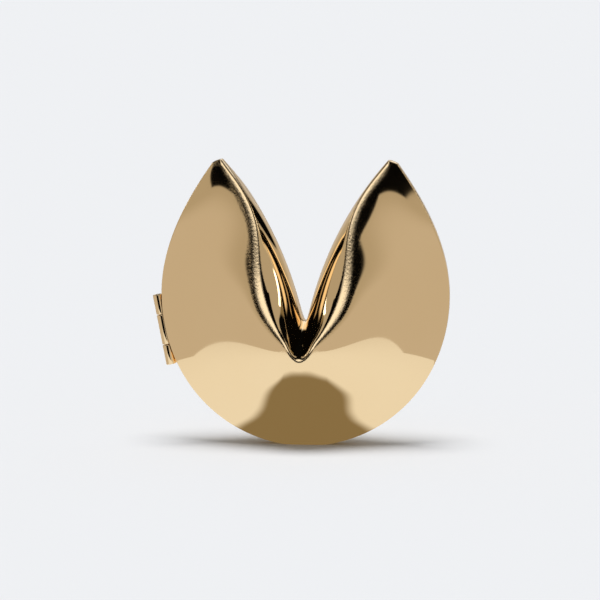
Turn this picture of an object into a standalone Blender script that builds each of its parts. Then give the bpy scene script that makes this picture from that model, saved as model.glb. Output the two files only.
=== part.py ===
"""Keepsake box in the shape of a fortune cookie, polished metal, standing upright on its rim.

Two hollow shells, front and back, meet on the plane Y = 0 and turn on a small barrel hinge
at the left of the rim. Driving dimensions are in millimetres, and meshes are made in metres.
X runs across the box, Y from front to back, and Z is up from the foot.
"""

import math

import bpy
import numpy as np
from mathutils import Matrix, Vector

MM = 0.001

# Rim of the closed box, in polar form about its centre: round below, drawn out to the tips above.
SIDE_RADIUS = 32.0
BOTTOM_RADIUS = 33.6
TIP_RADIUS = 36.4
TIP_ANGLE = 58.0
TIP_GROWTH = 3.2
FOOT_CUT = 0.3
RIM_CENTRE = BOTTOM_RADIUS - FOOT_CUT

# Notch between the two lobes: its lowest point, and the slope of its edge there and at the tip.
NOTCH_DROP = 5.7
NOTCH_START_X = 0.6
NOTCH_START_SLOPE = 11.0
NOTCH_START_REACH = 9.0
NOTCH_END_SLOPE = 43.0
NOTCH_END_REACH = 17.5
NOTCH_ROUNDING = 0.35

# Ribs run from the notch edge over the fold to the rim, from 0 at the middle to 1 at a tip.
RIB_TURN = (201.2, -138.0, 83.8)
FOLD_PLACE = (0.344, 0.184, 0.642, 0.485, -0.21, 0.085)
FOLD_DEPTH = (12.91, 13.54, 4.57, 8.79, 1.3)
CORNER_ROUNDING = 0.1
LAST_RIB = 0.99
RIM_HALF_DEPTH = 1.3
FOOT_SPREAD = 0.9
FOOT_SPREAD_REACH = 0.14
SEAM_GAP = 0.3

# Shape of one rib: shares of the fold's depth and of the way between notch, fold and rim.
NOSE_DEPTH = 0.5
NOSE_REACH = (0.763, 0.055, 0.474, 1.4)
NOSE_CROWN = 1.05
CREST_REACH = (0.715, 0.177, 0.926, 1.45)
CREST_CROWN = 1.144
FACE_REACH = 0.6
FACE_DEPTH = (0.447, 0.188, 0.437, 0.474, 0.78)

# Hollow of each shell.
WALL = 1.5
HOLLOW_LAST_RIB = 0.86
HOLLOW_RIM_DEPTH = 0.45
HOLLOW_OVERCUT = 1.0

# Barrel hinge at the left of the rim. Its outer edge is given from the middle of the body.
HINGE_TOP_EDGE = (-34.1, 32.8)
HINGE_BOTTOM_EDGE = (-31.1, 17.2)
BARREL_RADIUS = 1.1
BORE_RADIUS = 0.65
PIN_RADIUS = 0.42
MIDDLE_KNUCKLE = 6.8
KNUCKLE_GAP = 0.3
RELIEF_RADIUS = 1.4
LEAF_REACH = 2.8
LEAF_THICKNESS = 0.85
LEAF_SETBACK = 0.06

# The origin is below the middle of the whole box, hinge included.
BODY_MIDDLE = (-HINGE_TOP_EDGE[0] - SIDE_RADIUS) / 2

# Size of the block that cuts the foot flat: across, from front to back, and high.
FOOT_BLOCK = (60.0, 30.0, 10.0)

OUTER_COUNTS = (73, 21)
HOLLOW_COUNTS = (47, 13)
ROUND_SIDES = 24


def clear_scene():
    for item in list(bpy.data.objects):
        bpy.data.objects.remove(item)


def bezier(values, t):
    degree = len(values) - 1
    total = 0.0
    for i, value in enumerate(values):
        total = total + math.comb(degree, i) * (1.0 - t) ** (degree - i) * t ** i * value
    return total


def rim_line(s):
    """Plan of the rim, X and Z in millimetres, at rib position s from 0 to 1."""
    degrees = -90.0 + RIB_TURN[0] * s + RIB_TURN[1] * s ** 3 + RIB_TURN[2] * s ** 5
    angle = np.radians(degrees)
    squareness = 1.0 + 0.5 * np.cos(angle) ** 2
    low = SIDE_RADIUS + (BOTTOM_RADIUS - SIDE_RADIUS) * np.sin(angle) ** 2 * squareness
    rise = np.clip(degrees / TIP_ANGLE, 0.0, None) ** TIP_GROWTH
    high = SIDE_RADIUS + (TIP_RADIUS - SIDE_RADIUS) * rise
    radius = np.where(degrees < 0.0, low, high)
    return radius * np.cos(angle), RIM_CENTRE + radius * np.sin(angle)


def notch_line(s):
    """Plan of the notch edge at rib position s, rounded off at its lowest point."""
    tip_x = TIP_RADIUS * math.cos(math.radians(TIP_ANGLE))
    tip_z = RIM_CENTRE + TIP_RADIUS * math.sin(math.radians(TIP_ANGLE))
    start_z = RIM_CENTRE - NOTCH_DROP
    start = math.radians(NOTCH_START_SLOPE)
    end = math.radians(NOTCH_END_SLOPE)
    x_values = (
        NOTCH_START_X,
        NOTCH_START_X + NOTCH_START_REACH * math.sin(start),
        tip_x - NOTCH_END_REACH * math.sin(end),
        tip_x,
    )
    z_values = (
        start_z,
        start_z + NOTCH_START_REACH * math.cos(start),
        tip_z - NOTCH_END_REACH * math.cos(end),
        tip_z,
    )
    x = bezier(x_values, s * s)
    z = bezier(z_values, s * s)
    height = z - start_z
    return x * np.sqrt(height / (height + 2 * NOTCH_ROUNDING)), z


def inward(line, s, distance, side):
    """Plan of a line moved into the metal by a distance. side is 1 for the notch, -1 for the rim."""
    step = 0.002
    x, z = line(s)
    x_next, z_next = line(s + step)
    along_x = x_next - x
    along_z = z_next - z
    length = np.hypot(along_x, along_z)
    return x + side * distance * along_z / length, z - side * distance * along_x / length


def spline_weights(v, count, degree=3):
    """Weights of a clamped uniform B-spline's control points at each place v from 0 to 1."""
    inner = np.linspace(0.0, 1.0, count - degree + 1)
    knots = np.concatenate([np.zeros(degree), inner, np.ones(degree)])
    spans = len(knots) - 1
    weights = np.zeros((spans, len(v)))
    for i in range(spans):
        weights[i] = (v >= knots[i]) & (v < knots[i + 1])
    weights[count - 1][v >= 1.0] = 1.0
    for order in range(1, degree + 1):
        raised = np.zeros((spans - order, len(v)))
        for i in range(spans - order):
            left = knots[i + order] - knots[i]
            right = knots[i + order + 1] - knots[i + 1]
            if left > 0:
                raised[i] += (v - knots[i]) / left * weights[i]
            if right > 0:
                raised[i] += (knots[i + order + 1] - v) / right * weights[i + 1]
        weights = raised
    return weights


def rib_points(places, rows, inset, floor_depth, rim_depth):
    """Points of the shell's skin as rows of ribs: X, depth from the seam plane, and Z.

    The first and last row lie at floor_depth, below the notch edge and below the rim.
    """
    s = np.abs(places)
    side = np.sign(places)
    notch_x, notch_z = inward(notch_line, s, inset, 1)
    rim_x, rim_z = inward(rim_line, s, inset, -1)
    if inset == 0:
        notch_x, notch_z = notch_line(s)
        rim_x, rim_z = rim_line(s)
    soft = s * np.tanh(s / CORNER_ROUNDING)
    share = bezier(FOLD_PLACE, soft)
    depth = bezier(FOLD_DEPTH, soft) - inset
    fold_x = notch_x + share * (rim_x - notch_x)
    fold_z = notch_z + share * (rim_z - notch_z)
    spread = FOOT_SPREAD * np.exp(-(s / FOOT_SPREAD_REACH) ** 2)
    edge = np.minimum(rim_depth + spread, depth)
    fullness = bezier(FACE_DEPTH, soft)
    nose = bezier(NOSE_REACH, soft)
    crest = bezier(CREST_REACH, soft)

    def point(start, end, reach, height):
        x = start[0] + reach * (end[0] - start[0])
        z = start[1] + reach * (end[1] - start[1])
        return np.stack([BODY_MIDDLE + x * side, height + 0.0 * s, z], axis=-1)

    notch = (notch_x, notch_z)
    fold = (fold_x, fold_z)
    rim = (rim_x, rim_z)
    controls = np.array([
        point(notch, fold, 0.0, floor_depth),
        point(notch, fold, 0.0, NOSE_DEPTH * depth),
        point(notch, fold, nose, NOSE_CROWN * depth),
        point(notch, fold, crest, CREST_CROWN * depth),
        point(fold, rim, FACE_REACH, edge + fullness * (depth - edge)),
        point(fold, rim, 1.0, edge),
    ])
    weights = spline_weights(np.linspace(0.0, 1.0, rows), len(controls))
    skin = np.tensordot(weights.T, controls, axes=(1, 0))
    foot = point(fold, rim, 1.0, floor_depth)
    return np.concatenate([skin, foot[np.newaxis]])


def lofted_solid(name, facing, counts, last_rib, inset, floor_depth, rim_depth, collection):
    """A closed half shape with its flat side towards the seam. facing is -1 at the front."""
    places = np.linspace(-last_rib, last_rib, counts[0])
    points = rib_points(places, counts[1], inset, floor_depth, rim_depth)
    points[..., 1] *= facing
    rows, ribs, _ = points.shape
    faces = []
    for row in range(rows):
        below = (row + 1) % rows
        for rib in range(ribs - 1):
            faces.append((row * ribs + rib, row * ribs + rib + 1,
                          below * ribs + rib + 1, below * ribs + rib))
    faces.append([row * ribs for row in range(rows)])
    faces.append([row * ribs + ribs - 1 for row in reversed(range(rows))])
    if facing < 0:
        faces = [tuple(reversed(face)) for face in faces]
    mesh = bpy.data.meshes.new(name)
    mesh.from_pydata((points.reshape(-1, 3) * MM).tolist(), [], faces)
    item = bpy.data.objects.new(name, mesh)
    collection.objects.link(item)
    return item


def hinge_frame():
    """Matrix whose Z is the hinge axis, upwards, and whose X points into the box."""
    top = Vector((HINGE_TOP_EDGE[0], 0.0, HINGE_TOP_EDGE[1]))
    bottom = Vector((HINGE_BOTTOM_EDGE[0], 0.0, HINGE_BOTTOM_EDGE[1]))
    axis = (top - bottom).normalized()
    into = Vector((axis.z, 0.0, -axis.x))
    centre = (top + bottom) / 2 + into * BARREL_RADIUS + Vector((BODY_MIDDLE, 0.0, 0.0))
    across = axis.cross(into)
    turn = Matrix((into, across, axis)).transposed().to_4x4()
    return Matrix.Translation(centre * MM) @ turn, (top - bottom).length


def hinge_cylinder(name, radius, start, end, collection):
    """A cylinder on the hinge axis between two heights along it, in millimetres."""
    frame, _ = hinge_frame()
    bpy.ops.mesh.primitive_cylinder_add(
        vertices=ROUND_SIDES, radius=radius * MM, depth=(end - start) * MM, location=(0, 0, 0))
    item = bpy.context.object
    item.name = name
    item.data.transform(frame @ Matrix.Translation((0, 0, (start + end) / 2 * MM)))
    move_to(item, collection)
    return item


def hinge_leaf(name, facing, start, end, collection):
    """The plate that joins a knuckle to its shell, on that shell's side of the seam."""
    frame, _ = hinge_frame()
    size = (LEAF_REACH, LEAF_THICKNESS, end - start - 2 * LEAF_SETBACK)
    depth = SEAM_GAP / 2 + LEAF_SETBACK + LEAF_THICKNESS / 2
    place = (LEAF_REACH / 2, facing * depth, (start + end) / 2)
    bpy.ops.mesh.primitive_cube_add(size=1.0, location=(0, 0, 0))
    item = bpy.context.object
    item.name = name
    scale = Matrix.Diagonal((size[0] * MM, size[1] * MM, size[2] * MM, 1.0))
    item.data.transform(frame @ Matrix.Translation(Vector(place) * MM) @ scale)
    move_to(item, collection)
    return item


def move_to(item, collection):
    for old in list(item.users_collection):
        old.objects.unlink(item)
    collection.objects.link(item)


def combine(item, other, operation):
    """Apply a Boolean and remove the object that it used."""
    step = item.modifiers.new(operation.title(), 'BOOLEAN')
    step.operation = operation
    step.object = other
    step.solver = 'EXACT'
    bpy.context.view_layer.objects.active = item
    bpy.ops.object.modifier_apply(modifier=step.name)
    bpy.data.objects.remove(other)


def ground_block(collection):
    """Everything below the floor, taken off the rim to leave the small flat foot."""
    bpy.ops.mesh.primitive_cube_add(size=1.0, location=(0, 0, 0))
    item = bpy.context.object
    item.name = "below_floor"
    scale = Matrix.Diagonal([*(size * MM for size in FOOT_BLOCK), 1.0])
    item.data.transform(Matrix.Translation((0, 0, -FOOT_BLOCK[2] / 2 * MM)) @ scale)
    move_to(item, collection)
    return item


def shell(name, facing, knuckles, collection, cutters):
    half_gap = SEAM_GAP / 2
    item = lofted_solid(
        name, facing, OUTER_COUNTS, LAST_RIB, 0.0, half_gap, RIM_HALF_DEPTH, collection)
    _, length = hinge_frame()
    reach = length / 2 + KNUCKLE_GAP
    combine(item, hinge_cylinder("relief", RELIEF_RADIUS, -reach, reach, cutters), 'DIFFERENCE')
    for start, end in knuckles:
        combine(item, hinge_leaf("leaf", facing, start, end, cutters), 'UNION')
        combine(item, hinge_cylinder("knuckle", BARREL_RADIUS, start, end, cutters), 'UNION')
    hollow = lofted_solid(
        "hollow", facing, HOLLOW_COUNTS, HOLLOW_LAST_RIB, WALL, -HOLLOW_OVERCUT,
        HOLLOW_RIM_DEPTH, cutters)
    combine(item, hollow, 'DIFFERENCE')
    combine(item, hinge_cylinder("bore", BORE_RADIUS, -reach, reach, cutters), 'DIFFERENCE')
    combine(item, ground_block(cutters), 'DIFFERENCE')
    item.data.shade_smooth()
    item.data.set_sharp_from_angle(angle=math.radians(35))
    return item


def metal(name, colour, roughness):
    material = bpy.data.materials.new(name)
    material.use_nodes = True
    finish = material.node_tree.nodes["Principled BSDF"]
    finish.inputs["Base Color"].default_value = (*colour, 1.0)
    finish.inputs["Metallic"].default_value = 1.0
    finish.inputs["Roughness"].default_value = roughness
    return material


def main():
    clear_scene()
    box = bpy.data.collections.new("fortune_cookie_box")
    cutters = bpy.data.collections.new("cutters")
    bpy.context.scene.collection.children.link(box)
    bpy.context.scene.collection.children.link(cutters)

    _, length = hinge_frame()
    middle = MIDDLE_KNUCKLE / 2
    gap = KNUCKLE_GAP / 2
    outer_knuckles = [(-length / 2, -middle - gap), (middle + gap, length / 2)]
    middle_knuckle = [(-middle + gap, middle - gap)]

    plate = metal("polished_gold_plate", (0.89, 0.67, 0.40), 0.06)
    back = shell("back_shell", 1, outer_knuckles, box, cutters)
    back.data.materials.clear()
    back.data.materials.append(plate)
    front = shell("front_shell", -1, middle_knuckle, box, cutters)
    front.data.materials.clear()
    front.data.materials.append(plate)
    pin = hinge_cylinder("hinge_pin", PIN_RADIUS, -length / 2, length / 2, box)
    pin.data.shade_smooth()
    pin.data.set_sharp_from_angle(angle=math.radians(35))
    pin.data.materials.append(metal("hinge_pin_steel", (0.72, 0.60, 0.42), 0.2))


main()
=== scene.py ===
"""Looks for a fortune cookie keepsake box in polished gold plate, standing on its round rim."""

import math

import bmesh
import bpy
import numpy as np
from mathutils import Matrix, Vector


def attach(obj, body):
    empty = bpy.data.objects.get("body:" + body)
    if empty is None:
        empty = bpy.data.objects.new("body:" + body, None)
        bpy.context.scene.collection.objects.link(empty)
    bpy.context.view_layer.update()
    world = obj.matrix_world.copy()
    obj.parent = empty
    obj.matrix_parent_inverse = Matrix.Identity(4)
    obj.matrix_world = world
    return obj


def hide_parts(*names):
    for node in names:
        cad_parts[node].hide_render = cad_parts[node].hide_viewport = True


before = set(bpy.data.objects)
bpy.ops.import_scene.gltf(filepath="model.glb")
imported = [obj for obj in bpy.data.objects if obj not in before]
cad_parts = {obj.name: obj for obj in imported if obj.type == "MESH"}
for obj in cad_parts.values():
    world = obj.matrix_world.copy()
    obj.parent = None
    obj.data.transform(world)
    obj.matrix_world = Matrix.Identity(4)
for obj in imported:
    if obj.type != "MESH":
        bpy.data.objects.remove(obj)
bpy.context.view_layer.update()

MM = 0.001

# Rim, notch, fold and hollow, with the same numbers in millimetres as the solids have.
SIDE_RADIUS = 32.0
BOTTOM_RADIUS = 33.6
TIP_RADIUS = 36.4
TIP_ANGLE = 58.0
TIP_GROWTH = 3.2
FOOT_CUT = 0.3
RIM_CENTRE = BOTTOM_RADIUS - FOOT_CUT
NOTCH_DROP = 5.7
NOTCH_START_X = 0.6
NOTCH_START_SLOPE = 11.0
NOTCH_START_REACH = 9.0
NOTCH_END_SLOPE = 43.0
NOTCH_END_REACH = 17.5
NOTCH_ROUNDING = 0.35
RIB_TURN = (201.2, -138.0, 83.8)
FOLD_PLACE = (0.344, 0.184, 0.642, 0.485, -0.21, 0.085)
FOLD_DEPTH = (12.91, 13.54, 4.57, 8.79, 1.3)
CORNER_ROUNDING = 0.1
RIM_HALF_DEPTH = 1.3
FOOT_SPREAD = 0.9
FOOT_SPREAD_REACH = 0.14
NOSE_DEPTH = 0.5
NOSE_REACH = (0.763, 0.055, 0.474, 1.4)
NOSE_CROWN = 1.05
CREST_REACH = (0.715, 0.177, 0.926, 1.45)
CREST_CROWN = 1.144
FACE_REACH = 0.6
FACE_DEPTH = (0.447, 0.188, 0.437, 0.474, 0.78)
WALL = 1.5
HOLLOW_LAST_RIB = 0.86
HOLLOW_RIM_DEPTH = 0.45
HOLLOW_FADE = 0.07
BODY_MIDDLE = 1.05

# Finishing of a shell: the seam closes to a hairline, and every edge is eased by hand.
LAST_RIB = 0.988
HALF_SEAM = 0.05
SEAM_EASE = 0.1
RIM_EASE = 0.28
TIP_SWELL = 0.3
FOOT_EASE = 0.05
WEAR_REACH = 1.7

# Barrel hinge, in millimetres from the middle of the body.
HINGE_TOP_EDGE = (-34.1, 32.8)
HINGE_BOTTOM_EDGE = (-31.1, 17.2)
BARREL_RADIUS = 1.1
BORE_RADIUS = 0.65
PIN_RADIUS = 0.42
MIDDLE_KNUCKLE = 6.8
KNUCKLE_GAP = 0.16
RELIEF_RADIUS = 1.4
RELIEF_END = 0.3
LEAF_REACH = 2.6
LEAF_THICKNESS = 0.85
LEAF_SETBACK = 0.08
LEAF_GAP = 0.21
LEAF_EASE = 0.08
KNUCKLE_EASE = 0.14
PIN_DOME = 0.12

# Ribs over a shell, crowded towards its middle, and rows along a rib.
RIBS = 361
RIB_CROWDING = 0.4
SKIN_ROWS = 172
HOLLOW_ROWS = 48
EASE_ROWS = 5
CAP_RIBS = 8
DENSE_ROWS = 500


def bezier(values, t):
    degree = len(values) - 1
    total = 0.0
    for i, value in enumerate(values):
        total = total + math.comb(degree, i) * (1.0 - t) ** (degree - i) * t ** i * value
    return total


def rim_line(s):
    """Plan of the rim, X and Z, at rib position s from 0 at the foot to 1 at a tip."""
    degrees = -90.0 + RIB_TURN[0] * s + RIB_TURN[1] * s ** 3 + RIB_TURN[2] * s ** 5
    angle = np.radians(degrees)
    squareness = 1.0 + 0.5 * np.cos(angle) ** 2
    low = SIDE_RADIUS + (BOTTOM_RADIUS - SIDE_RADIUS) * np.sin(angle) ** 2 * squareness
    rise = np.clip(degrees / TIP_ANGLE, 0.0, None) ** TIP_GROWTH
    high = SIDE_RADIUS + (TIP_RADIUS - SIDE_RADIUS) * rise
    radius = np.where(degrees < 0.0, low, high)
    return radius * np.cos(angle), RIM_CENTRE + radius * np.sin(angle)


def notch_line(s):
    """Plan of the notch edge at rib position s, rounded off at its lowest point."""
    tip_x = TIP_RADIUS * math.cos(math.radians(TIP_ANGLE))
    tip_z = RIM_CENTRE + TIP_RADIUS * math.sin(math.radians(TIP_ANGLE))
    start_z = RIM_CENTRE - NOTCH_DROP
    start = math.radians(NOTCH_START_SLOPE)
    end = math.radians(NOTCH_END_SLOPE)
    x_values = (
        NOTCH_START_X,
        NOTCH_START_X + NOTCH_START_REACH * math.sin(start),
        tip_x - NOTCH_END_REACH * math.sin(end),
        tip_x,
    )
    z_values = (
        start_z,
        start_z + NOTCH_START_REACH * math.cos(start),
        tip_z - NOTCH_END_REACH * math.cos(end),
        tip_z,
    )
    x = bezier(x_values, s * s)
    z = bezier(z_values, s * s)
    height = z - start_z
    return x * np.sqrt(height / (height + 2 * NOTCH_ROUNDING)), z


def inward(line, s, distance, side):
    """Plan of a line moved into the metal by a distance. side is 1 for the notch, -1 for the rim."""
    step = 0.002
    x, z = line(s)
    x_next, z_next = line(s + step)
    along_x = x_next - x
    along_z = z_next - z
    length = np.hypot(along_x, along_z)
    return x + side * distance * along_z / length, z - side * distance * along_x / length


def spline_weights(v, count, degree=3):
    """Weights of a clamped uniform B-spline's control points at each place v from 0 to 1."""
    inner = np.linspace(0.0, 1.0, count - degree + 1)
    knots = np.concatenate([np.zeros(degree), inner, np.ones(degree)])
    spans = len(knots) - 1
    weights = np.zeros((spans, len(v)))
    for i in range(spans):
        weights[i] = (v >= knots[i]) & (v < knots[i + 1])
    weights[count - 1][v >= 1.0] = 1.0
    for order in range(1, degree + 1):
        raised = np.zeros((spans - order, len(v)))
        for i in range(spans - order):
            left = knots[i + order] - knots[i]
            right = knots[i + order + 1] - knots[i + 1]
            if left > 0:
                raised[i] += (v - knots[i]) / left * weights[i]
            if right > 0:
                raised[i] += (knots[i + order + 1] - v) / right * weights[i + 1]
        weights = raised
    return weights


def plate_skin(places, rows, inset, rim_depth):
    """Rows of ribs over the plate, from the notch edge over the fold to the rim.

    Returns the skin's points and the rim's points on the seam, each as X, depth and Z.
    """
    s = np.abs(places)
    side = np.sign(places)
    notch_x, notch_z = notch_line(s)
    rim_x, rim_z = rim_line(s)
    if inset:
        notch_x, notch_z = inward(notch_line, s, inset, 1)
        rim_x, rim_z = inward(rim_line, s, inset, -1)
    soft = s * np.tanh(s / CORNER_ROUNDING)
    share = bezier(FOLD_PLACE, soft)
    depth = bezier(FOLD_DEPTH, soft) - inset
    fold_x = notch_x + share * (rim_x - notch_x)
    fold_z = notch_z + share * (rim_z - notch_z)
    spread = FOOT_SPREAD * np.exp(-(s / FOOT_SPREAD_REACH) ** 2)
    edge = np.minimum(rim_depth + spread, depth)
    fullness = bezier(FACE_DEPTH, soft)
    nose = bezier(NOSE_REACH, soft)
    crest = bezier(CREST_REACH, soft)

    def point(start, end, reach, height):
        x = start[0] + reach * (end[0] - start[0])
        z = start[1] + reach * (end[1] - start[1])
        return np.stack([x * side, height + 0.0 * s, z], axis=-1)

    notch = (notch_x, notch_z)
    fold = (fold_x, fold_z)
    rim = (rim_x, rim_z)
    controls = np.array([
        point(notch, fold, 0.0, HALF_SEAM),
        point(notch, fold, 0.0, NOSE_DEPTH * depth),
        point(notch, fold, nose, NOSE_CROWN * depth),
        point(notch, fold, crest, CREST_CROWN * depth),
        point(fold, rim, FACE_REACH, edge + fullness * (depth - edge)),
        point(fold, rim, 1.0, edge),
    ])
    weights = spline_weights(np.linspace(0.0, 1.0, rows), len(controls))
    return np.tensordot(weights.T, controls, axes=(1, 0)), point(fold, rim, 1.0, HALF_SEAM)


def walk(path, start, stop, count):
    """Points at equal steps along each rib, leaving out a length at its start and its stop."""
    steps = np.linalg.norm(np.diff(path, axis=0), axis=-1)
    lengths = np.vstack([np.zeros(steps.shape[1]), np.cumsum(steps, axis=0)])
    places = np.linspace(0.0, 1.0, count)[:, None]
    wanted = start + places * (lengths[-1] - start - stop)
    result = np.empty((count,) + path.shape[1:])
    for rib in range(path.shape[1]):
        for axis in range(3):
            result[:, rib, axis] = np.interp(wanted[:, rib], lengths[:, rib], path[:, rib, axis])
    return result


def eased(before, corner, after, count):
    """Rows that round a corner off, between the points before and after it."""
    rows = []
    for t in np.linspace(0.0, 1.0, count + 2)[1:-1]:
        rows.append((1 - t) ** 2 * before + 2 * t * (1 - t) * corner + t * t * after)
    return np.array(rows)


def shorten(start, towards, distance):
    """A point that far from start on the way to another one, or a third of the way if that is less."""
    gap = towards - start
    length = np.linalg.norm(gap, axis=-1, keepdims=True)
    return start + gap * np.minimum(distance / np.maximum(length, 1e-6), 0.33)


def shell_section():
    """The closed loop round the wall of a shell at every rib, and where its polished side ends."""
    q = np.linspace(-1.0, 1.0, RIBS)
    run = np.clip(np.abs(q) / (1.0 - 2.0 * CAP_RIBS / RIBS), 0.0, 1.0)
    places = np.sign(q) * ((1.0 - RIB_CROWDING) * run + RIB_CROWDING * run * run) * LAST_RIB
    cap = np.clip(np.abs(q) * RIBS / 2.0 - (RIBS / 2.0 - CAP_RIBS), 0.0, CAP_RIBS) / CAP_RIBS
    cap[[0, -1]] = 1.0

    dense, rim_seam = plate_skin(places, DENSE_ROWS, 0.0, RIM_HALF_DEPTH)
    notch_seam = dense[0]
    rim_edge = dense[-1]
    band = rim_edge[:, 1] - HALF_SEAM
    rim_ease = np.minimum(RIM_EASE, 0.3 * band)
    skin = walk(dense, SEAM_EASE, rim_ease, SKIN_ROWS)
    notch_land = shorten(notch_seam, rim_seam, SEAM_EASE)
    rim_land = shorten(rim_seam, notch_seam, SEAM_EASE)
    drop = np.array([0.0, 1.0, 0.0])
    band_top = rim_edge - rim_ease[:, None] * drop
    band_low = rim_seam + SEAM_EASE * drop
    band_middle = (band_top + band_low) / 2.0
    outer = np.concatenate([
        notch_land[None],
        eased(notch_land, notch_seam, skin[0], EASE_ROWS),
        skin,
        eased(skin[-1], rim_edge, band_top, EASE_ROWS),
        band_top[None], band_middle[None], band_low[None],
        eased(band_low, rim_seam, rim_land, EASE_ROWS),
        rim_land[None],
    ])

    hollow_places = places * HOLLOW_LAST_RIB
    hollow_dense, hollow_seam = plate_skin(hollow_places, DENSE_ROWS // 2, WALL, HOLLOW_RIM_DEPTH)
    hollow = np.concatenate([walk(hollow_dense, 0.0, 0.0, HOLLOW_ROWS), hollow_seam[None]])
    end = np.clip((1.0 - run) / HOLLOW_FADE, 0.0, 1.0)
    fade = np.sqrt(1.0 - (1.0 - end) ** 2)
    hollow[..., 1] = HALF_SEAM + (hollow[..., 1] - HALF_SEAM) * fade
    loop = np.concatenate([outer, hollow[::-1], outer[:1]])

    for last in (0, -1):
        centre = (notch_seam[last] + rim_seam[last]) / 2.0
        across = rim_seam[last] - notch_seam[last]
        out = np.array([abs(across[2]) * np.sign(centre[0]), 0.0, abs(across[0])])
        out = out / np.linalg.norm(out)
        ribs = np.where(np.sign(q) == np.sign(centre[0]))[0]
        for rib in ribs[cap[ribs] > 0.0]:
            turn = cap[rib] * math.pi / 2.0
            loop[:, rib] = centre + (loop[:, rib] - centre) * math.cos(turn)
            loop[:, rib] += out * TIP_SWELL * math.sin(turn)
            loop[:, rib, 1] = np.maximum(loop[:, rib, 1], HALF_SEAM)
    return loop, len(outer)


def hinge_frame():
    """Matrix whose Z is the hinge axis, upwards, and whose X points into the box, in metres."""
    top = Vector((HINGE_TOP_EDGE[0], 0.0, HINGE_TOP_EDGE[1]))
    bottom = Vector((HINGE_BOTTOM_EDGE[0], 0.0, HINGE_BOTTOM_EDGE[1]))
    axis = (top - bottom).normalized()
    into = Vector((axis.z, 0.0, -axis.x))
    centre = (top + bottom) / 2 + into * BARREL_RADIUS + Vector((BODY_MIDDLE, 0.0, 0.0))
    turn = Matrix((into, axis.cross(into), axis)).transposed().to_4x4()
    return Matrix.Translation(centre * MM) @ turn, (top - bottom).length


def make_room_for_hinge(points):
    """Push the rim out of the barrel's way, as a cutter of the relief's radius would leave it."""
    place, length = hinge_frame()
    centre = np.array(place.translation) / MM
    axis = np.array([place[i][2] for i in range(3)])
    offset = points - centre
    along = offset @ axis
    out = offset - along[..., None] * axis
    distance = np.linalg.norm(out, axis=-1)
    near = (distance < RELIEF_RADIUS) & (np.abs(along) < length / 2.0 + RELIEF_END)
    pushed = centre + along[..., None] * axis + out / distance[..., None] * RELIEF_RADIUS
    return np.where(near[..., None], pushed, points)


def finish_piece(name, bm, materials, body, slot, *nodes):
    """Makes a bmesh into a piece that rides a body and stands for its CAD nodes."""
    mesh = bpy.data.meshes.new(name)
    bm.to_mesh(mesh)
    bm.free()
    mesh.shade_smooth()
    piece = bpy.data.objects.new(name, mesh)
    bpy.context.scene.collection.objects.link(piece)
    for material in materials:
        mesh.materials.append(material)
    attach(piece, body)
    if nodes:
        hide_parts(*nodes)
    return piece


def make_shell(name, facing, body, node, materials):
    """One shell. Its attribute "fold" is 1 along the ridge of every rib and fades out beside it."""
    loop, outer_rows = shell_section()
    loop[..., 0] += BODY_MIDDLE
    z = loop[..., 2]
    loop[..., 2] = (z + np.sqrt(z * z + FOOT_EASE ** 2)) / 2.0
    loop = make_room_for_hinge(loop)
    loop[..., 1] *= facing
    rows, ribs, _ = loop.shape

    bm = bmesh.new()
    bmesh.ops.create_grid(bm, x_segments=ribs - 1, y_segments=rows - 1, size=1.0)
    bm.verts.ensure_lookup_table()
    for vert, place in zip(bm.verts, loop.reshape(-1, 3) * MM):
        vert.co = place
    fold = bm.verts.layers.float.new("fold")
    skin_start = 1 + EASE_ROWS
    for rib in range(ribs):
        depths = np.abs(loop[skin_start:skin_start + SKIN_ROWS, rib, 1])
        crest = int(depths.argmax())
        steps = np.linalg.norm(loop[skin_start:skin_start + SKIN_ROWS, rib]
                               - loop[skin_start + crest, rib], axis=-1)
        for row in range(SKIN_ROWS):
            bm.verts[(skin_start + row) * ribs + rib][fold] = math.exp(-(steps[row] / WEAR_REACH) ** 2)
    for face in bm.faces:
        row = min(vert.index // ribs for vert in face.verts)
        face.material_index = 0 if row < outer_rows - 2 else 1
    bmesh.ops.remove_doubles(bm, verts=bm.verts, dist=1e-7)
    bmesh.ops.dissolve_degenerate(bm, edges=bm.edges, dist=1e-8)
    bmesh.ops.recalc_face_normals(bm, faces=bm.faces)
    return finish_piece(name, bm, materials, body, "gold_plate", node)


def lathe(profile, segments=64):
    """A ring turned about Z from a closed profile of (radius, height) points in millimetres."""
    bm = bmesh.new()
    verts = [bm.verts.new((radius * MM, 0.0, height * MM)) for radius, height in profile]
    edges = [bm.edges.new((verts[i - 1], verts[i])) for i in range(len(verts))]
    bmesh.ops.spin(bm, geom=verts + edges, angle=2 * math.pi, steps=segments, axis=(0, 0, 1),
                   cent=(0, 0, 0), use_merge=True)
    bmesh.ops.remove_doubles(bm, verts=bm.verts, dist=1e-7)
    bmesh.ops.recalc_face_normals(bm, faces=bm.faces)
    return bm


def rounded_section(low_radius, high_radius, start, end, ease, steps=4):
    """Outline of a rectangle with eased corners, as (radius, height) points."""
    corners = ((high_radius - ease, start + ease, -90), (high_radius - ease, end - ease, 0),
               (low_radius + ease, end - ease, 90), (low_radius + ease, start + ease, 180))
    points = []
    for x, y, first in corners:
        for step in range(steps + 1):
            angle = math.radians(first + 90.0 * step / steps)
            points.append((x + ease * math.cos(angle), y + ease * math.sin(angle)))
    return points


def make_knuckle(name, start, end, body, material, node):
    place, _ = hinge_frame()
    bm = lathe(rounded_section(BORE_RADIUS, BARREL_RADIUS, start, end, KNUCKLE_EASE))
    bm.transform(place)
    return finish_piece(name, bm, [material], body, "gold_plate", node)


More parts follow.
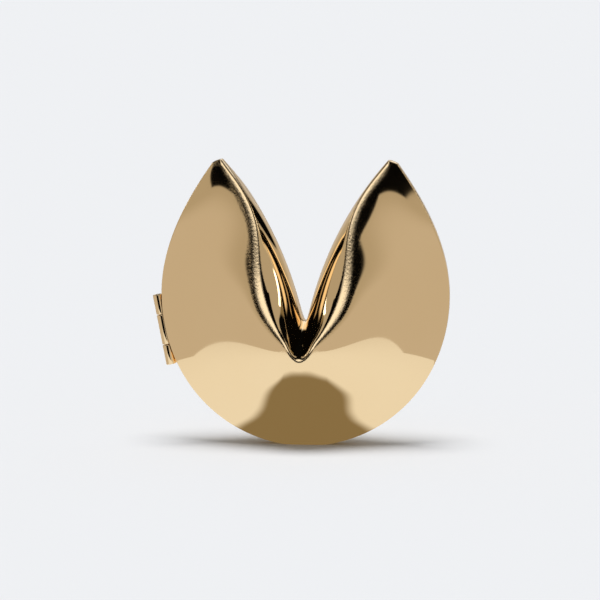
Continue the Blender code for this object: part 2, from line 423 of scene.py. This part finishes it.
def make_leaf(name, facing, start, end, body, material, node):
    """The tongue of plate that is rolled round the pin and soldered into the rim."""
    place, _ = hinge_frame()
    bm = bmesh.new()
    bmesh.ops.create_cube(bm, size=1.0)
    inner = BORE_RADIUS + 0.1
    size = Vector((LEAF_REACH - inner, LEAF_THICKNESS, end - start - 2 * LEAF_SETBACK)) * MM
    bmesh.ops.scale(bm, vec=size, verts=bm.verts)
    depth = facing * (LEAF_GAP + LEAF_THICKNESS / 2)
    middle = Vector(((LEAF_REACH + inner) / 2, depth, (start + end) / 2)) * MM
    bmesh.ops.translate(bm, vec=middle, verts=bm.verts)
    bmesh.ops.bevel(bm, geom=bm.edges[:], offset=LEAF_EASE * MM, offset_type='OFFSET', segments=2,
                    profile=0.5, affect='EDGES', material=-1)
    bm.transform(place)
    return finish_piece(name, bm, [material], body, "gold_plate", node)


def make_pin(material):
    place, length = hinge_frame()
    half = length / 2
    dome = []
    for step in range(7):
        angle = math.radians(90.0 * step / 6)
        dome.append((PIN_RADIUS * math.cos(angle), half - PIN_DOME + PIN_DOME * math.sin(angle)))
    profile = dome + [(radius, -height) for radius, height in reversed(dome)]
    bm = bmesh.new()
    verts = [bm.verts.new((radius * MM, 0.0, height * MM)) for radius, height in profile]
    edges = [bm.edges.new((verts[i], verts[i + 1])) for i in range(len(verts) - 1)]
    bmesh.ops.spin(bm, geom=verts + edges, angle=2 * math.pi, steps=40, axis=(0, 0, 1),
                   cent=(0, 0, 0), use_merge=True)
    bmesh.ops.remove_doubles(bm, verts=bm.verts, dist=1e-7)
    bmesh.ops.recalc_face_normals(bm, faces=bm.faces)
    bm.transform(place)
    return finish_piece("hinge_pin_wire", bm, [material], "base", "pin", "hinge_pin")


def linear(hex_colour):
    """Linear RGBA of an sRGB hex colour."""
    parts = [int(hex_colour[i:i + 2], 16) / 255.0 for i in (0, 2, 4)]
    return tuple(c / 12.92 if c <= 0.04045 else ((c + 0.055) / 1.055) ** 2.4 for c in parts) + (1.0,)


def add(tree, kind, settings=None, **links):
    """Adds a node. A setting or link is named by its property or its input socket, n0 for the first.

    A link takes a socket, a node for its first output, or a number.
    """
    node = tree.nodes.new(kind)
    for key, value in (settings or {}).items():
        if hasattr(node, key):
            setattr(node, key, value)
        else:
            node.inputs[int(key) if key.isdigit() else key].default_value = value
    for key, value in links.items():
        slot = key.replace("_", " ")
        name = int(slot[1:]) if slot[0] == "n" and slot[1:].isdigit() else slot
        if isinstance(value, (int, float)):
            node.inputs[name].default_value = value
        else:
            socket = value.outputs[0] if isinstance(value, bpy.types.Node) else value
            tree.links.new(socket, node.inputs[name])
    return node


def new_material(name):
    material = bpy.data.materials.new(name)
    material.use_nodes = True
    tree = material.node_tree
    tree.nodes.clear()
    output = tree.nodes.new("ShaderNodeOutputMaterial")
    shader = tree.nodes.new("ShaderNodeBsdfPrincipled")
    tree.links.new(shader.outputs[0], output.inputs[0])
    coordinates = tree.nodes.new("ShaderNodeTexCoord").outputs["Object"]
    return material, tree, shader, coordinates


def polished_gold_plate():
    """Brass electroplated with pale gold and buffed on a wheel.

    The eye gets a clean mirror with a soft handling haze, hair scratches, and a grain along the
    fold where the wheel has cut into the edge.
    """
    material, tree, shader, place = new_material("polished_gold_plate")
    shader.inputs["Metallic"].default_value = 1.0

    tone = add(tree, "ShaderNodeTexNoise", {"Scale": 1000 / 14.0, "Detail": 3.0}, Vector=place)
    colour = add(tree, "ShaderNodeMix", {"data_type": 'RGBA', "6": linear("FADFB3"),
                                         "7": linear("F7DAAC")}, Factor=tone.outputs["Fac"])
    tree.links.new(colour.outputs[2], shader.inputs["Base Color"])

    haze = add(tree, "ShaderNodeTexNoise", {"Scale": 1000 / 9.0, "Detail": 4.0}, Vector=place)
    haze_range = add(tree, "ShaderNodeMapRange", {"From Min": 0.35, "From Max": 0.7,
                                                  "To Min": 0.028, "To Max": 0.05},
                     Value=haze.outputs["Fac"])
    fold = add(tree, "ShaderNodeAttribute", {"attribute_name": "fold"})
    worn = add(tree, "ShaderNodeMath", {"operation": 'POWER', "1": 2.0},
               n0=fold.outputs["Fac"])
    grain = add(tree, "ShaderNodeTexNoise", {"Scale": 1000 / 0.5, "Detail": 4.0,
                                             "Roughness": 0.7}, Vector=place)
    rough = add(tree, "ShaderNodeMath", {"operation": 'MULTIPLY_ADD', "1": 0.03},
                n0=worn.outputs[0], n2=haze_range.outputs[0])
    tree.links.new(rough.outputs[0], shader.inputs["Roughness"])

    cut = add(tree, "ShaderNodeMath", {"operation": 'MULTIPLY'}, n0=grain.outputs["Fac"],
              n1=worn.outputs[0])
    buffed = add(tree, "ShaderNodeBump", {"Strength": 0.8, "Distance": 0.00004},
                 Height=cut.outputs[0])
    stretched = add(tree, "ShaderNodeMapping", {"Scale": (1.0, 1.0, 0.08),
                                                "Rotation": (0.0, 0.5, 0.0)}, Vector=place)
    hairs = add(tree, "ShaderNodeTexNoise", {"Scale": 1000 / 0.25, "Detail": 2.0},
                Vector=stretched.outputs[0])
    scratched = add(tree, "ShaderNodeBump", {"Strength": 0.012, "Distance": 0.00002},
                    Height=hairs.outputs["Fac"], Normal=buffed.outputs[0])
    tree.links.new(scratched.outputs[0], shader.inputs["Normal"])
    return material


def satin_gold_inside():
    """The same plate left satin where no wheel reaches: the hollow and the meeting edges."""
    material, tree, shader, place = new_material("satin_gold_plate")
    shader.inputs["Metallic"].default_value = 1.0
    cloud = add(tree, "ShaderNodeTexNoise", {"Scale": 1000 / 6.0, "Detail": 4.0}, Vector=place)
    colour = add(tree, "ShaderNodeMix", {"data_type": 'RGBA', "6": linear("E9C98F"),
                                         "7": linear("DDB97C")}, Factor=cloud.outputs["Fac"])
    tree.links.new(colour.outputs[2], shader.inputs["Base Color"])
    rough = add(tree, "ShaderNodeMapRange", {"To Min": 0.24, "To Max": 0.36},
                Value=cloud.outputs["Fac"])
    tree.links.new(rough.outputs[0], shader.inputs["Roughness"])
    blast = add(tree, "ShaderNodeTexNoise", {"Scale": 1000 / 0.2, "Detail": 2.0}, Vector=place)
    bump = add(tree, "ShaderNodeBump", {"Strength": 0.25, "Distance": 0.00002},
               Height=blast.outputs["Fac"])
    tree.links.new(bump.outputs[0], shader.inputs["Normal"])
    return material


def drawn_brass_wire():
    """Brass wire drawn through a die, with fine lines along it. Only its ends show."""
    material, tree, shader, place = new_material("drawn_brass_wire")
    shader.inputs["Metallic"].default_value = 1.0
    lines = add(tree, "ShaderNodeTexNoise", {"Scale": 1000 / 0.12, "Detail": 2.0}, Vector=place)
    colour = add(tree, "ShaderNodeMix", {"data_type": 'RGBA', "6": linear("D9BE86"),
                                         "7": linear("C3A468")}, Factor=lines.outputs["Fac"])
    tree.links.new(colour.outputs[2], shader.inputs["Base Color"])
    rough = add(tree, "ShaderNodeMapRange", {"To Min": 0.18, "To Max": 0.34},
                Value=lines.outputs["Fac"])
    tree.links.new(rough.outputs[0], shader.inputs["Roughness"])
    bump = add(tree, "ShaderNodeBump", {"Strength": 0.2, "Distance": 0.00001},
               Height=lines.outputs["Fac"])
    tree.links.new(bump.outputs[0], shader.inputs["Normal"])
    return material


# Colour and brightness of the backdrop, of the bounce cards low down and near their top, of the dim
# gaps at the sides and of the even sky. Then the glow painted on the tabletop for the mirror: in the
# painted shade, close by and further out. Then the tabletop's matt paint.
BACKDROP = (0.888, 0.896, 0.912, 1.0)
CARD = (0.582, 0.535, 0.478, 1.0)
CARD_HIGH = (0.47, 0.425, 0.352, 1.0)
WARM_GAP = (0.22, 0.17, 0.09, 1.0)
SKY = (0.27, 0.277, 0.285, 1.0)
SHADE = (0.265, 0.215, 0.125, 1.0)
PAINTED_GLOW_NEAR = (0.89, 0.905, 0.912, 1.0)
PAINTED_GLOW_FAR = (0.80, 0.80, 0.79, 1.0)
TABLE_PAINT = (0.80, 0.807, 0.822, 1.0)

# Where the glow painted on the tabletop for the mirror ends, in metres: its reach, and for each side
# the least width, the width at the box and its growth with the distance from the box.
TABLE_REACH = 0.1
TABLE_LEFT = (0.06, 0.033, 0.88)
TABLE_RIGHT = (0.057, 0.027, 0.70)
# Where the painted glow dims from its close-by to its further-out colour, in metres from the middle.
TABLE_FADE = (0.035, 0.09)

# The shade drawn on the tabletop for the mirror, in metres: a bell with a waist and a slanted, round
# far edge. It is fitted to the photo's reflections and isn't cast by the box.
SHADE_MIDDLE = 0.0005
SHADE_HALF_WIDTH = 0.017
SHADE_SWELL = 0.0039
SHADE_SWELL_PLACE = (0.0085, 0.016)
SHADE_WAIST = 0.0024
SHADE_WAIST_PLACE = (0.003, 0.0078)
SHADE_REACH = 0.0219
SHADE_SLANT = 0.057
SHADE_ROUNDING = 8.0
SHADE_SOFTNESS = 0.002

# The studio in degrees: turn is the angle from its middle, rise the height above the horizon. The
# places and sizes are fitted to the lines that the photo's faces reflect.
STUDIO_MIDDLE = 4.5
CARD_START = (23.2, 23.8)
CARD_TOP = 12.2
CARD_CLIMB_START = 35.0
CARD_CLIMB_REACH = 23.0
CARD_CLIMB_BEHIND = 0.28
CARD_CLIMB_IN_FRONT = 0.72
CARD_TOP_SOFTNESS = 0.3
CARD_FADE = (7.0, 11.5)
SIDE_WALL = ((64.0, 89.0, 3.0), (14.0, 60.0, 3.0))
STRIP = ((84.6, 88.6, 0.6), (19.0, 33.0, 1.5))
GAP = ((89.0, 110.0, 3.0), (15.0, 38.0, 4.0))
LAMP_SIDE = (12.0, 31.0)
LAMP_LOW = (13.3, 18.0)
LAMP_HIGH = (52.0, 62.0)
LAMP_LOW_SLOPE = 0.2
LAMP_LOW_SLOPE_START = 12.0
LAMP_LEVEL = 1.15
STRIP_LEVEL = 3.2
ROOM_LEVEL = 0.002

SMOOTH = {"interpolation_type": 'SMOOTHSTEP'}
FALLING = {"interpolation_type": 'SMOOTHSTEP', "To Min": 1.0, "To Max": 0.0}
MINUS = {"operation": 'SUBTRACT'}
TIMES = {"operation": 'MULTIPLY'}
TIMES_PLUS = {"operation": 'MULTIPLY_ADD'}
SIZE_OF = {"operation": 'ABSOLUTE'}
LARGER = {"operation": 'MAXIMUM'}
SMALLER = {"operation": 'MINIMUM'}
BELOW = {"operation": 'LESS_THAN'}
ABOVE = {"operation": 'GREATER_THAN'}


def mirrored_table_end(tree, x, away):
    """1 where the tabletop has ended for the mirror, at a side or at its reach."""
    least, start, growth = TABLE_LEFT
    left = add(tree, "ShaderNodeMath", TIMES_PLUS, n0=away, n1=-growth, n2=-start)
    left = add(tree, "ShaderNodeMath", SMALLER, n0=left, n1=-least)
    least, start, growth = TABLE_RIGHT
    right = add(tree, "ShaderNodeMath", TIMES_PLUS, n0=away, n1=growth, n2=start)
    right = add(tree, "ShaderNodeMath", LARGER, n0=right, n1=least)
    past_left = add(tree, "ShaderNodeMath", BELOW, n0=x, n1=left)
    past_right = add(tree, "ShaderNodeMath", ABOVE, n0=x, n1=right)
    past_reach = add(tree, "ShaderNodeMath", ABOVE, n0=away, n1=TABLE_REACH)
    past_side = add(tree, "ShaderNodeMath", LARGER, n0=past_left, n1=past_right)
    return add(tree, "ShaderNodeMath", LARGER, n0=past_side, n1=past_reach)


def mirrored_shade(tree, x, away):
    """How much of the drawn shade lies on a place of the tabletop, from 0 to 1."""
    shift = add(tree, "ShaderNodeMath", MINUS, n0=x, n1=SHADE_MIDDLE)
    off_middle = add(tree, "ShaderNodeMath", SIZE_OF, n0=shift)
    low, high = SHADE_SWELL_PLACE
    swell = add(tree, "ShaderNodeMapRange", SMOOTH, Value=away, n1=low, n2=high)
    width = add(tree, "ShaderNodeMath", TIMES_PLUS, n0=swell, n1=SHADE_SWELL, n2=SHADE_HALF_WIDTH)
    low, high = SHADE_WAIST_PLACE
    waist = add(tree, "ShaderNodeMapRange", SMOOTH, Value=away, n1=low, n2=high)
    pulled_in = add(tree, "ShaderNodeMath", TIMES, n0=waist, n1=SHADE_WAIST)
    width = add(tree, "ShaderNodeMath", MINUS, n0=width, n1=pulled_in)
    past_side = add(tree, "ShaderNodeMath", MINUS, n0=off_middle, n1=width)
    slant = add(tree, "ShaderNodeMath", TIMES_PLUS, n0=x, n1=SHADE_SLANT, n2=SHADE_REACH)
    square = add(tree, "ShaderNodeMath", TIMES, n0=x, n1=x)
    crown = add(tree, "ShaderNodeMath", TIMES_PLUS, n0=square, n1=-SHADE_ROUNDING, n2=slant)
    past_far_edge = add(tree, "ShaderNodeMath", MINUS, n0=away, n1=crown)
    edge = add(tree, "ShaderNodeMath", LARGER, n0=past_side, n1=past_far_edge)
    return add(tree, "ShaderNodeMapRange", FALLING, Value=edge, n1=-SHADE_SOFTNESS, n2=SHADE_SOFTNESS)


def pale_tabletop():
    """Matt pale paint for the camera, and a painted stand-in for the mirror.

    Glossy rays see a painted glow, dimmer further to the sides, with a painted shade on it, which
    ends at the cards. The box doesn't cast that shade, and it stays where it is when the lid opens.
    """
    material = bpy.data.materials.new("pale_tabletop")
    material.use_nodes = True
    tree = material.node_tree
    tree.nodes.clear()
    place = add(tree, "ShaderNodeTexCoord").outputs["Object"]
    parts = add(tree, "ShaderNodeSeparateXYZ", Vector=place)
    x = parts.outputs[0]
    away = add(tree, "ShaderNodeMath", SIZE_OF, n0=parts.outputs[1])
    glossy = add(tree, "ShaderNodeLightPath").outputs["Is Glossy Ray"]
    paint = add(tree, "ShaderNodeBsdfDiffuse", {"Color": TABLE_PAINT})

    # The glow painted for the mirror: brighter near the middle, dimmer further to the sides, with the
    # painted shade mixed in.
    off_middle = add(tree, "ShaderNodeMath", SIZE_OF, n0=x)
    low, high = TABLE_FADE
    far = add(tree, "ShaderNodeMapRange", SMOOTH, Value=off_middle, n1=low, n2=high)
    seen = add(tree, "ShaderNodeMix", {"data_type": 'RGBA', "6": PAINTED_GLOW_NEAR, "7": PAINTED_GLOW_FAR}, Factor=far)
    seen = add(tree, "ShaderNodeMix", {"data_type": 'RGBA', "7": SHADE},
               n0=mirrored_shade(tree, x, away), n6=seen.outputs[2])
    glow = add(tree, "ShaderNodeEmission", Color=seen.outputs[2])
    surface = add(tree, "ShaderNodeMixShader", n0=glossy, n1=paint, n2=glow)
    clear = add(tree, "ShaderNodeBsdfTransparent")
    ended = add(tree, "ShaderNodeMath", TIMES, n0=mirrored_table_end(tree, x, away), n1=glossy)
    mix = add(tree, "ShaderNodeMixShader", n0=ended, n1=surface, n2=clear)
    add(tree, "ShaderNodeOutputMaterial", n0=mix)
    return material


def make_floor():
    bm = bmesh.new()
    bmesh.ops.create_grid(bm, x_segments=1, y_segments=1, size=4.0)
    mesh = bpy.data.meshes.new("floor")
    bm.to_mesh(mesh)
    bm.free()
    mesh.materials.append(pale_tabletop())
    floor = bpy.data.objects.new("floor", mesh)
    bpy.context.scene.collection.objects.link(floor)


def make_top_light():
    """A wide soft light high above. The mirror doesn't see it."""
    lamp = bpy.data.lights.new("top_light", 'SUN')
    lamp.energy = 2.55
    lamp.angle = math.radians(34.0)
    light = bpy.data.objects.new("top_light", lamp)
    bpy.context.scene.collection.objects.link(light)
    light.rotation_mode = 'QUATERNION'
    light.rotation_quaternion = Vector((0.02, 0.04, -0.999)).to_track_quat('-Z', 'Y')
    light.visible_glossy = False


def soft_patch(tree, turn, rise, limits):
    """How much a soft-edged patch of the studio covers a direction, from 0 to 1."""
    covers = []
    for reading, (low, high, soft) in zip((turn, rise), limits):
        start = add(tree, "ShaderNodeMapRange", SMOOTH, Value=reading, n1=low - soft / 2, n2=low + soft / 2)
        end = add(tree, "ShaderNodeMapRange", SMOOTH, Value=reading, n1=high - soft / 2, n2=high + soft / 2)
        covers.append(add(tree, "ShaderNodeMath", MINUS, n0=start, n1=end))
    return add(tree, "ShaderNodeMath", TIMES, n0=covers[0], n1=covers[1])


def bounce_cards(tree, turn, rise, mirrored):
    """Cards all round but for the gap in front. Their top climbs at the sides."""
    front = add(tree, "ShaderNodeMath", BELOW, n0=turn, n1=90.0)
    climb = add(tree, "ShaderNodeMath", MINUS, n0=mirrored, n1=CARD_CLIMB_START)
    climb = add(tree, "ShaderNodeMath", LARGER, n0=climb, n1=0.0)
    climb = add(tree, "ShaderNodeMath", SMALLER, n0=climb, n1=CARD_CLIMB_REACH)
    slope = add(tree, "ShaderNodeMath", TIMES_PLUS, n0=front, n1=CARD_CLIMB_IN_FRONT - CARD_CLIMB_BEHIND,
                n2=CARD_CLIMB_BEHIND)
    top = add(tree, "ShaderNodeMath", TIMES_PLUS, n0=climb, n1=slope, n2=CARD_TOP)
    over = add(tree, "ShaderNodeMath", MINUS, n0=rise, n1=top)
    under_top = add(tree, "ShaderNodeMapRange", FALLING, Value=over,
                    n1=-CARD_TOP_SOFTNESS, n2=CARD_TOP_SOFTNESS)
    low, high = CARD_START
    beside_gap = add(tree, "ShaderNodeMapRange", SMOOTH, Value=turn, n1=low, n2=high)
    return add(tree, "ShaderNodeMath", TIMES, n0=beside_gap, n1=under_top)


def front_lamp(tree, rise, mirrored):
    """A soft lamp above the gap and another behind the box. Its lower edge rises to the sides."""
    corner = add(tree, "ShaderNodeMath", MINUS, n0=mirrored, n1=LAMP_LOW_SLOPE_START)
    corner = add(tree, "ShaderNodeMath", LARGER, n0=corner, n1=0.0)
    raised = add(tree, "ShaderNodeMath", TIMES, n0=corner, n1=LAMP_LOW_SLOPE)
    above_edge = add(tree, "ShaderNodeMath", MINUS, n0=rise, n1=raised)
    cover = add(tree, "ShaderNodeMapRange", SMOOTH, Value=above_edge, n1=LAMP_LOW[0], n2=LAMP_LOW[1])
    for reading, (low, high) in ((rise, LAMP_HIGH), (mirrored, LAMP_SIDE)):
        end = add(tree, "ShaderNodeMapRange", FALLING, Value=reading, n1=low, n2=high)
        cover = add(tree, "ShaderNodeMath", TIMES, n0=cover, n1=end)
    return cover


def make_studio():
    """Warm cards at the sides with dark gaps, a soft lamp in front and tall strips at the sides.

    Only the mirror sees them. The camera sees a plain backdrop, and the tabletop an even sky.
    """
    world = bpy.data.worlds.new("studio")
    bpy.context.scene.world = world
    world.use_nodes = True
    tree = world.node_tree
    tree.nodes.clear()

    direction = add(tree, "ShaderNodeTexCoord").outputs["Generated"]
    parts = add(tree, "ShaderNodeSeparateXYZ", Vector=direction)
    x, y, z = parts.outputs[0], parts.outputs[1], parts.outputs[2]
    degrees = 180.0 / math.pi
    forward = add(tree, "ShaderNodeMath", TIMES, n0=y, n1=-1.0)
    angle = add(tree, "ShaderNodeMath", {"operation": 'ARCTAN2'}, n0=x, n1=forward)
    from_middle = add(tree, "ShaderNodeMath", TIMES_PLUS, n0=angle, n1=degrees, n2=STUDIO_MIDDLE)
    turn = add(tree, "ShaderNodeMath", SIZE_OF, n0=from_middle)
    height = add(tree, "ShaderNodeMath", {"operation": 'ARCSINE'}, n0=z)
    rise = add(tree, "ShaderNodeMath", TIMES, n0=height, n1=degrees)
    past_side = add(tree, "ShaderNodeMath", MINUS, n0=turn, n1=90.0)
    off_side = add(tree, "ShaderNodeMath", SIZE_OF, n0=past_side)
    mirrored = add(tree, "ShaderNodeMath", MINUS, n0=90.0, n1=off_side)

    cards = bounce_cards(tree, turn, rise, mirrored)
    walls = soft_patch(tree, turn, rise, SIDE_WALL)
    lamp = front_lamp(tree, rise, mirrored)
    strips = soft_patch(tree, turn, rise, STRIP)
    gaps = soft_patch(tree, turn, rise, GAP)

    low, high = CARD_FADE
    near_top = add(tree, "ShaderNodeMapRange", SMOOTH, Value=rise, n1=low, n2=high)
    card_colour = add(tree, "ShaderNodeMix", {"data_type": 'RGBA', "6": CARD, "7": CARD_HIGH},
                      Factor=near_top)
    card_cover = add(tree, "ShaderNodeMath", LARGER, n0=cards, n1=walls)
    card_light = add(tree, "ShaderNodeBackground", Color=card_colour.outputs[2], Strength=card_cover)
    gap_light = add(tree, "ShaderNodeBackground", {"Color": WARM_GAP}, Strength=gaps)
    lamp_level = add(tree, "ShaderNodeMath", TIMES_PLUS, n0=lamp, n1=LAMP_LEVEL, n2=ROOM_LEVEL)
    level = add(tree, "ShaderNodeMath", TIMES_PLUS, n0=strips, n1=STRIP_LEVEL, n2=lamp_level)
    lamp_light = add(tree, "ShaderNodeBackground", {"Color": (1.0, 1.0, 1.0, 1.0)}, Strength=level)
    lit = add(tree, "ShaderNodeAddShader", n0=card_light, n1=lamp_light)
    lit = add(tree, "ShaderNodeAddShader", n0=lit, n1=gap_light)

    rays = add(tree, "ShaderNodeLightPath")
    sky = add(tree, "ShaderNodeBackground", {"Color": SKY})
    backdrop = add(tree, "ShaderNodeBackground", {"Color": BACKDROP})
    around = add(tree, "ShaderNodeMixShader", n0=rays.outputs["Is Glossy Ray"], n1=sky, n2=lit)
    mix = add(tree, "ShaderNodeMixShader", n0=rays.outputs["Is Camera Ray"], n1=around, n2=backdrop)
    add(tree, "ShaderNodeOutputWorld", n0=mix)


CAMERA_TURN = 5.6
CAMERA_RISE = 7.0
CAMERA_DISTANCE = 0.70
CAMERA_TARGET_HEIGHT = 32.3
PIXEL = 0.2215e-3
PICTURE_PIXELS = 600
SENSOR = 36.0
SHIFT_PIXELS = (-5.3, 0.5)


def make_camera():
    """The photo's view. A pixel covers the same length at the box as it does there."""
    turn = math.radians(CAMERA_TURN)
    rise = math.radians(CAMERA_RISE)
    back = Vector((math.sin(turn) * math.cos(rise), -math.cos(turn) * math.cos(rise), math.sin(rise)))
    data = bpy.data.cameras.new("camera")
    camera = bpy.data.objects.new("camera", data)
    bpy.context.scene.collection.objects.link(camera)
    target = Vector((BODY_MIDDLE, 0.0, CAMERA_TARGET_HEIGHT - FOOT_CUT)) * MM
    camera.location = target + back * CAMERA_DISTANCE
    camera.rotation_mode = 'QUATERNION'
    camera.rotation_quaternion = (-back).to_track_quat('-Z', 'Y')
    data.sensor_width = SENSOR
    data.lens = SENSOR * CAMERA_DISTANCE / (PICTURE_PIXELS * PIXEL)
    data.shift_x = SHIFT_PIXELS[0] / PICTURE_PIXELS
    data.shift_y = SHIFT_PIXELS[1] / PICTURE_PIXELS
    data.clip_start = 0.01
    data.clip_end = 20.0
    bpy.context.scene.camera = camera
    bpy.context.scene.view_settings.view_transform = 'Standard'


plate = polished_gold_plate()
satin = satin_gold_inside()
wire = drawn_brass_wire()

make_shell("back_shell_plate", 1, "base", "back_shell", [plate, satin])
make_shell("front_shell_plate", -1, "lid", "front_shell", [plate, satin])

_, hinge_length = hinge_frame()
half_hinge = hinge_length / 2
half_middle = MIDDLE_KNUCKLE / 2
half_gap = KNUCKLE_GAP / 2
knuckles = (
    ("hinge_knuckle_low", "hinge_leaf_low", 1, -half_hinge, -half_middle - half_gap, "base", "back_shell"),
    ("hinge_knuckle_middle", "hinge_leaf_middle", -1, -half_middle + half_gap, half_middle - half_gap,
     "lid", "front_shell"),
    ("hinge_knuckle_high", "hinge_leaf_high", 1, half_middle + half_gap, half_hinge, "base", "back_shell"),
)
for knuckle, leaf, facing, start, end, body, node in knuckles:
    make_knuckle(knuckle, start, end, body, plate, node)
    make_leaf(leaf, facing, start, end, body, plate, node)
make_pin(wire)

make_floor()
make_top_light()
make_studio()
make_camera()
